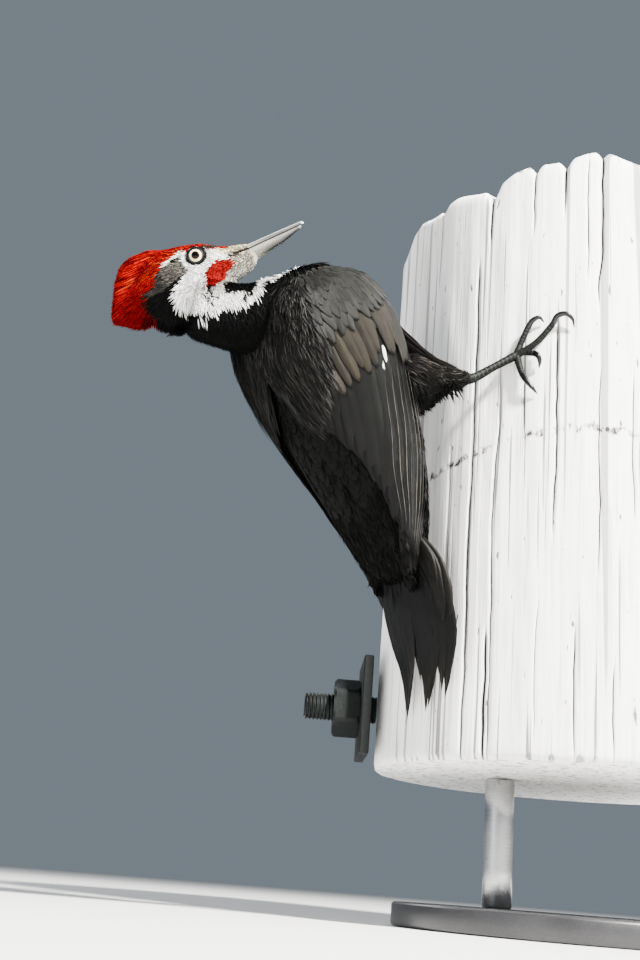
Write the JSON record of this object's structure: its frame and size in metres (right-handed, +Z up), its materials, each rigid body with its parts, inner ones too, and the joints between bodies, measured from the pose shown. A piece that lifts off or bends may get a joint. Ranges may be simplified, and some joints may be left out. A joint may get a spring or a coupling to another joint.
{
  "type": "pileated woodpecker",
  "caption": "Life-size male crested woodpecker clinging to a short length of weathered pole, looking back over its shoulder, on a plain display stand.",
  "frame": {"origin": "middle of the flat underside of the stand's base, on the pole's axis", "axes": "+Z up along the pole; the bird clings to the pole's -X, -Y side; -Y faces the usual viewer"},
  "size_m": [0.4878, 0.3437, 0.5085],
  "materials": {
    "plumage_black": "slate-black body feathers with a soft sheen",
    "plumage_wing": "black and worn brown wing feathers with pale shafts",
    "plumage_red": "scarlet crest feathers",
    "bill_horn": "satin grey horn, paler below",
    "eye": "wet pale yellow iris round a black pupil",
    "foot_skin": "dark grey scaled skin",
    "claw_horn": "polished black horn",
    "pole_wood": "bleached, cracked old timber",
    "bolt_iron": "weathered dark galvanised iron",
    "stand_paint": "satin black paint",
    "stand_steel": "brushed steel"
  },
  "bodies": {
    "root": {"trunk": "plumage_black", "neck": "plumage_black", "head": "plumage_black", "tail": "plumage_black", "thigh_left": "plumage_black", "thigh_right": "plumage_black", "wing_left": "plumage_wing", "wing_right": "plumage_wing", "crest": "plumage_red", "bill_upper": "bill_horn", "bill_lower": "bill_horn", "eye_left": "eye", "eye_right": "eye", "foot_left": "foot_skin", "foot_right": "foot_skin", "claw_inner_left": "claw_horn", "claw_front_left": "claw_horn", "claw_outer_left": "claw_horn", "claw_back_left": "claw_horn", "claw_inner_right": "claw_horn", "claw_front_right": "claw_horn", "claw_outer_right": "claw_horn", "claw_back_right": "claw_horn", "perch_pole": "pole_wood", "pole_bolt": "bolt_iron", "pole_nut": "bolt_iron", "pole_washer": "bolt_iron", "stand_base": "stand_paint", "stand_rod_1": "stand_steel", "stand_rod_2": "stand_steel"}
  },
  "joints": []
}
